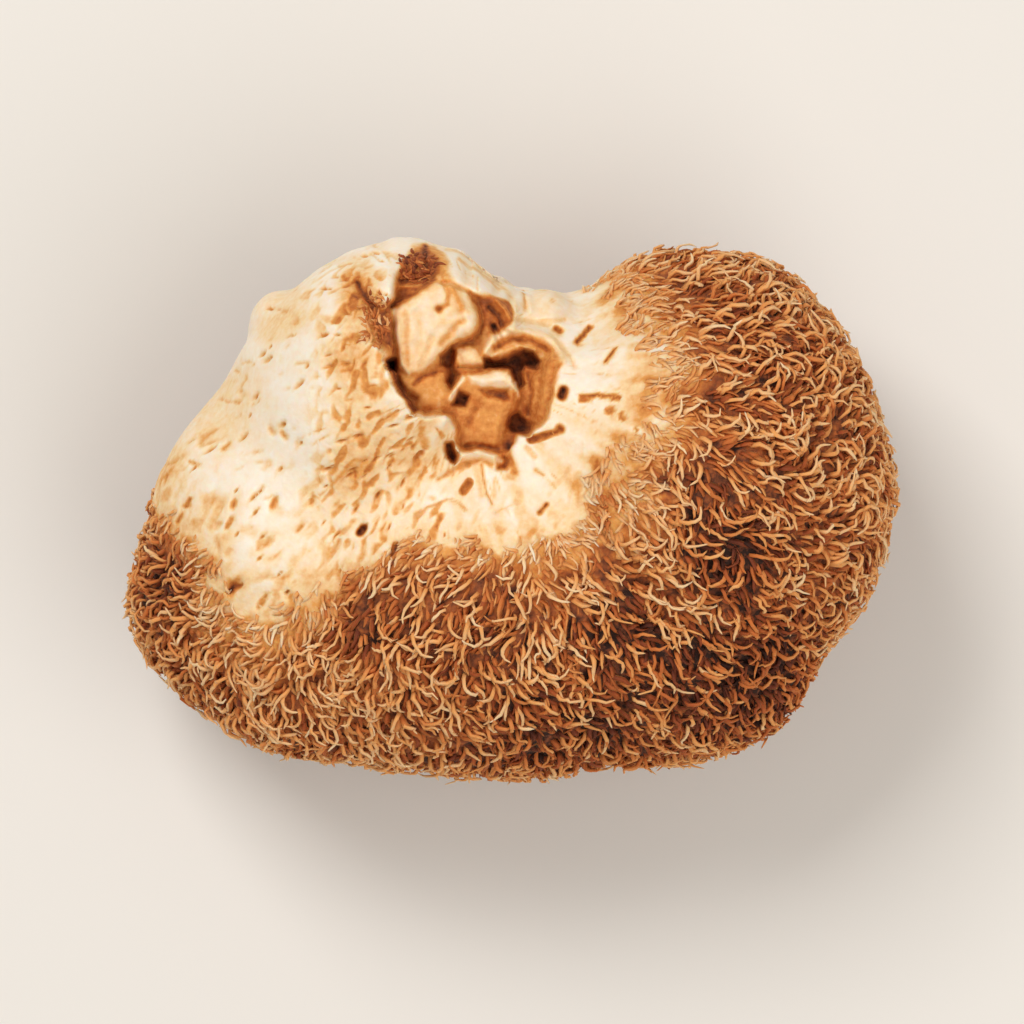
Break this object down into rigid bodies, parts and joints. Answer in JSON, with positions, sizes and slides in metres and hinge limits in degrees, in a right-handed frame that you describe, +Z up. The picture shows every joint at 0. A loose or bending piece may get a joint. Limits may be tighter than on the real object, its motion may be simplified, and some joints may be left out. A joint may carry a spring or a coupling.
{
  "type": "dried lion's mane mushroom",
  "caption": "Whole dried lion's mane mushroom: a rounded lobed head covered in matted curled spines, with a bare cream shoulder round a torn hollow on top. Lies on its flat underside.",
  "frame": {"origin": "middle of the head's box at its underside, where it rests", "axes": "+Z up, +X along the head's longest side towards its larger lobe, +Y towards the torn hollow"},
  "size_m": [0.0604, 0.0424, 0.037],
  "materials": {
    "spines": "dry matted spines, golden to dark red-brown, matt with a faint sheen on the ridges",
    "flesh": "dry bare flesh, cream to tan, matt"
  },
  "bodies": {
    "root": {"mushroom": "spines"}
  },
  "joints": []
}
